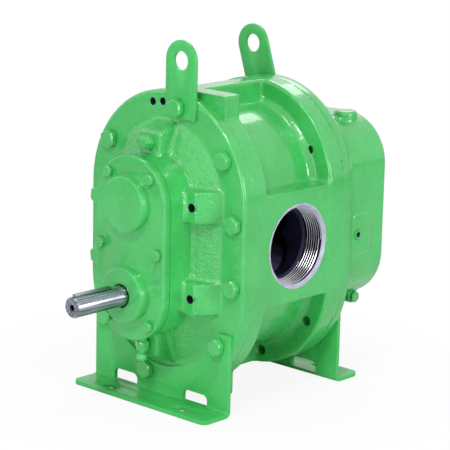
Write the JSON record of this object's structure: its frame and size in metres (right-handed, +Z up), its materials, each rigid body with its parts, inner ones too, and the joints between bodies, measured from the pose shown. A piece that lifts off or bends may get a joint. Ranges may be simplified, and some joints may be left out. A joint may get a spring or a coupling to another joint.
{
  "type": "rotary lobe blower",
  "caption": "Positive displacement blower with lobed rotors on a lower drive shaft and an upper driven shaft, threaded side ports, bent feet and lifting lugs.",
  "frame": {"origin": "centre of the four anchor slots, on the floor", "axes": "+X out of the discharge port, -Y along the drive shaft's free end, +Z up"},
  "size_m": [0.294, 0.4962, 0.5087],
  "materials": {
    "green_paint": "gloss enamel over rough casting",
    "ground_steel": "ground",
    "dark_steel": "oiled",
    "rotor_iron": "machined",
    "cage_brass": "satin",
    "gasket": "matt fibre",
    "seal_rubber": "matt"
  },
  "bodies": {
    "machine": {"casing": "green_paint", "drive_head_plate": "green_paint", "gear_head_plate": "green_paint", "drive_end_cover": "green_paint", "gear_cover": "green_paint", "front_foot": "green_paint", "rear_foot": "green_paint", "front_lifting_lug": "green_paint", "rear_lifting_lug": "green_paint", "drive_plate_bolts": "green_paint", "gear_plate_bolts": "green_paint", "foot_bolts": "green_paint", "lug_bolts": "green_paint", "cover_bolts": "green_paint", "gear_cover_bolts": "green_paint", "dowel_pins": "ground_steel", "cover_gasket": "gasket", "gear_cover_gasket": "gasket", "lip_seal": "seal_rubber", "plate_seals": "dark_steel", "drive_end_outer_rings": "ground_steel", "gear_end_outer_rings": "ground_steel", "bearing_retainers": "dark_steel", "retainer_screws": "ground_steel", "filler_plug": "green_paint", "relief_fitting": "green_paint", "oil_breather": "green_paint", "oil_level_plug": "green_paint", "oil_drain_plug": "green_paint"},
    "drive_rotor_set": {"drive_shaft": "ground_steel", "drive_rotor": "rotor_iron", "coupling_key": "ground_steel", "drive_gear": "dark_steel", "drive_gear_key": "ground_steel", "drive_gear_nut": "dark_steel", "drive_bearing_nut": "dark_steel", "drive_inner_rings": "ground_steel", "oil_slinger": "ground_steel"},
    "driven_rotor_set": {"driven_shaft": "ground_steel", "driven_rotor": "rotor_iron", "driven_gear": "dark_steel", "driven_gear_key": "ground_steel", "driven_gear_nut": "dark_steel", "driven_bearing_nut": "dark_steel", "driven_inner_rings": "ground_steel"},
    "drive_front_ball_set": {"drive_front_balls": "ground_steel", "drive_front_cage": "cage_brass"},
    "drive_rear_ball_set": {"drive_rear_balls": "ground_steel", "drive_rear_cage": "cage_brass"},
    "driven_front_ball_set": {"driven_front_balls": "ground_steel", "driven_front_cage": "cage_brass"},
    "driven_rear_ball_set": {"driven_rear_balls": "ground_steel", "driven_rear_cage": "cage_brass"}
  },
  "joints": [
    {"name": "drive_spin", "type": "hinge", "parent": "machine", "child": "drive_rotor_set", "pos_m": [0, 0, 0.1625], "axis": [0, 1, 0], "continuous": true},
    {"name": "driven_spin", "type": "hinge", "parent": "machine", "child": "driven_rotor_set", "pos_m": [0, 0, 0.2895], "axis": [0, 1, 0], "continuous": true},
    {"name": "drive_front_cage_spin", "type": "hinge", "parent": "machine", "child": "drive_front_ball_set", "pos_m": [0, 0, 0.1625], "axis": [0, 1, 0], "continuous": true},
    {"name": "drive_rear_cage_spin", "type": "hinge", "parent": "machine", "child": "drive_rear_ball_set", "pos_m": [0, 0, 0.1625], "axis": [0, 1, 0], "continuous": true},
    {"name": "driven_front_cage_spin", "type": "hinge", "parent": "machine", "child": "driven_front_ball_set", "pos_m": [0, 0, 0.2895], "axis": [0, 1, 0], "continuous": true},
    {"name": "driven_rear_cage_spin", "type": "hinge", "parent": "machine", "child": "driven_rear_ball_set", "pos_m": [0, 0, 0.2895], "axis": [0, 1, 0], "continuous": true}
  ],
  "couplings": [
    {"joint": "driven_spin", "follows": "drive_spin", "ratio": -1},
    {"joint": "drive_front_cage_spin", "follows": "drive_spin", "ratio": 0.38465},
    {"joint": "drive_rear_cage_spin", "follows": "drive_spin", "ratio": 0.38465},
    {"joint": "driven_front_cage_spin", "follows": "drive_spin", "ratio": -0.38465},
    {"joint": "driven_rear_cage_spin", "follows": "drive_spin", "ratio": -0.38465}
  ]
}
